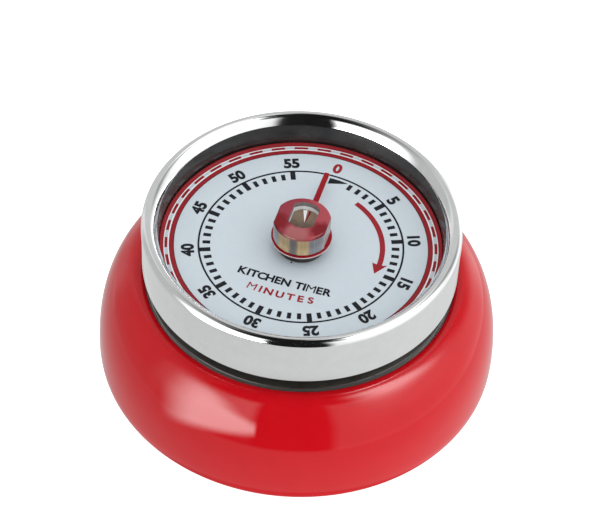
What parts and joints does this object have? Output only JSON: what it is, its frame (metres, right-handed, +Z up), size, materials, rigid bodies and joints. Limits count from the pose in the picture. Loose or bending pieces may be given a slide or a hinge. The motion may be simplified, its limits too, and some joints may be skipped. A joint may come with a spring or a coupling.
{
  "type": "kitchen timer",
  "caption": "Wind-up kitchen timer: round enamelled body, chrome bezel, open dial read by a pointer on a clear winding knob, geared movement with bell, and a magnet in the base.",
  "frame": {"origin": "centre of the base, on the surface that the timer stands on", "axes": "+Z up through the winding arbor; +Y to the dial's 0/60 mark; +X to the 15 minute mark"},
  "size_m": [0.0702, 0.0702, 0.0353],
  "materials": {
    "enamel": "glossy red enamel",
    "chrome": "polished chrome plate",
    "case_plastic": "black, slightly satin",
    "surround_plastic": "dark grey, glossy",
    "cover_plastic": "black, fine texture",
    "dial_paint": "satin bluish white with printed scale",
    "pointer_red": "glossy red",
    "clear_acrylic": "clear, polished",
    "insert_brass": "brass, satin",
    "wheel_brass": "brass, fine grain",
    "plate_brass": "brass sheet, brushed",
    "bell_steel": "nickel-plated steel",
    "spring_steel": "blued spring steel",
    "arbor_steel": "turned steel",
    "screw_steel": "zinc-plated steel",
    "ferrite": "dark grey ferrite"
  },
  "bodies": {
    "housing": {"body_shell": "enamel", "back_cover": "cover_plastic", "magnet": "ferrite", "cover_screw_1": "screw_steel", "cover_screw_2": "screw_steel", "cover_screw_3": "screw_steel", "movement_case": "case_plastic", "bezel": "chrome", "dial_surround": "surround_plastic", "dial": "dial_paint", "dial_collar": "case_plastic", "front_plate": "plate_brass", "back_plate": "plate_brass", "pillar_1": "arbor_steel", "pillar_2": "arbor_steel", "pillar_3": "arbor_steel", "plate_screw_1": "screw_steel", "plate_screw_2": "screw_steel", "plate_screw_3": "screw_steel", "case_screw_1": "screw_steel", "case_screw_2": "screw_steel", "case_screw_3": "screw_steel", "bell": "bell_steel", "bell_post": "arbor_steel", "bell_nut": "arbor_steel", "mainspring": "spring_steel", "spring_post": "arbor_steel", "hairspring": "spring_steel", "hammer_spring": "arbor_steel"},
    "winding_arbor": {"main_arbor": "arbor_steel", "knob": "clear_acrylic", "knob_insert": "insert_brass", "pointer": "pointer_red", "main_wheel": "wheel_brass", "ratchet_wheel": "arbor_steel", "release_cam": "wheel_brass"},
    "click": {"click": "arbor_steel"},
    "second_arbor": {"second_pinion": "arbor_steel", "second_wheel": "wheel_brass"},
    "third_arbor": {"third_pinion": "arbor_steel", "third_wheel": "wheel_brass"},
    "escape_arbor": {"escape_pinion": "arbor_steel", "escape_wheel": "wheel_brass"},
    "pallet": {"pallet_lever": "arbor_steel", "pallet_arbor": "arbor_steel"},
    "balance": {"balance_wheel": "wheel_brass", "balance_staff": "arbor_steel"},
    "hammer": {"hammer_arbor": "arbor_steel", "hammer_arm": "arbor_steel", "hammer_head": "wheel_brass", "release_lever": "arbor_steel"}
  },
  "joints": [
    {"name": "knob_turn", "type": "hinge", "parent": "housing", "child": "winding_arbor", "pos_m": [0, 0, 0.03115], "axis": [0, 0, 1], "range_deg": [-338.4, 0]},
    {"name": "click_pivot", "type": "hinge", "parent": "winding_arbor", "child": "click", "pos_m": [0.00345, -0.00598, 0.0175], "axis": [0, 0, 1], "range_deg": [0, 12], "stiffness_Nm_per_rad": 0.0002},
    {"name": "second_wheel_spin", "type": "hinge", "parent": "housing", "child": "second_arbor", "pos_m": [-0.01184, 0.00431, 0.0163], "axis": [0, 0, 1], "range_deg": [-5, 2035]},
    {"name": "third_wheel_spin", "type": "hinge", "parent": "housing", "child": "third_arbor", "pos_m": [-0.00587, 0.01182, 0.0163], "axis": [0, 0, 1], "range_deg": [-10160, 5]},
    {"name": "escape_wheel_spin", "type": "hinge", "parent": "housing", "child": "escape_arbor", "pos_m": [0.00241, 0.0143, 0.0163], "axis": [0, 0, 1], "range_deg": [-5, 50770]},
    {"name": "balance_swing", "type": "hinge", "parent": "housing", "child": "balance", "pos_m": [0.01324, 0.00704, 0.0163], "axis": [0, 0, 1], "range_deg": [-35, 35], "stiffness_Nm_per_rad": 0.00001},
    {"name": "pallet_rock", "type": "hinge", "parent": "housing", "child": "pallet", "pos_m": [0.00727, 0.01312, 0.0163], "axis": [0, 0, 1], "range_deg": [-7, 7]},
    {"name": "hammer_swing", "type": "hinge", "parent": "housing", "child": "hammer", "pos_m": [0.01004, -0.01434, 0.0163], "axis": [0, 0, 1], "range_deg": [-3, 4.5], "stiffness_Nm_per_rad": 0.0005}
  ],
  "couplings": [
    {"joint": "second_wheel_spin", "follows": "knob_turn", "ratio": -6},
    {"joint": "third_wheel_spin", "follows": "knob_turn", "ratio": 30},
    {"joint": "escape_wheel_spin", "follows": "knob_turn", "ratio": -150},
    {"joint": "pallet_rock", "follows": "balance_swing", "ratio": -0.2}
  ]
}
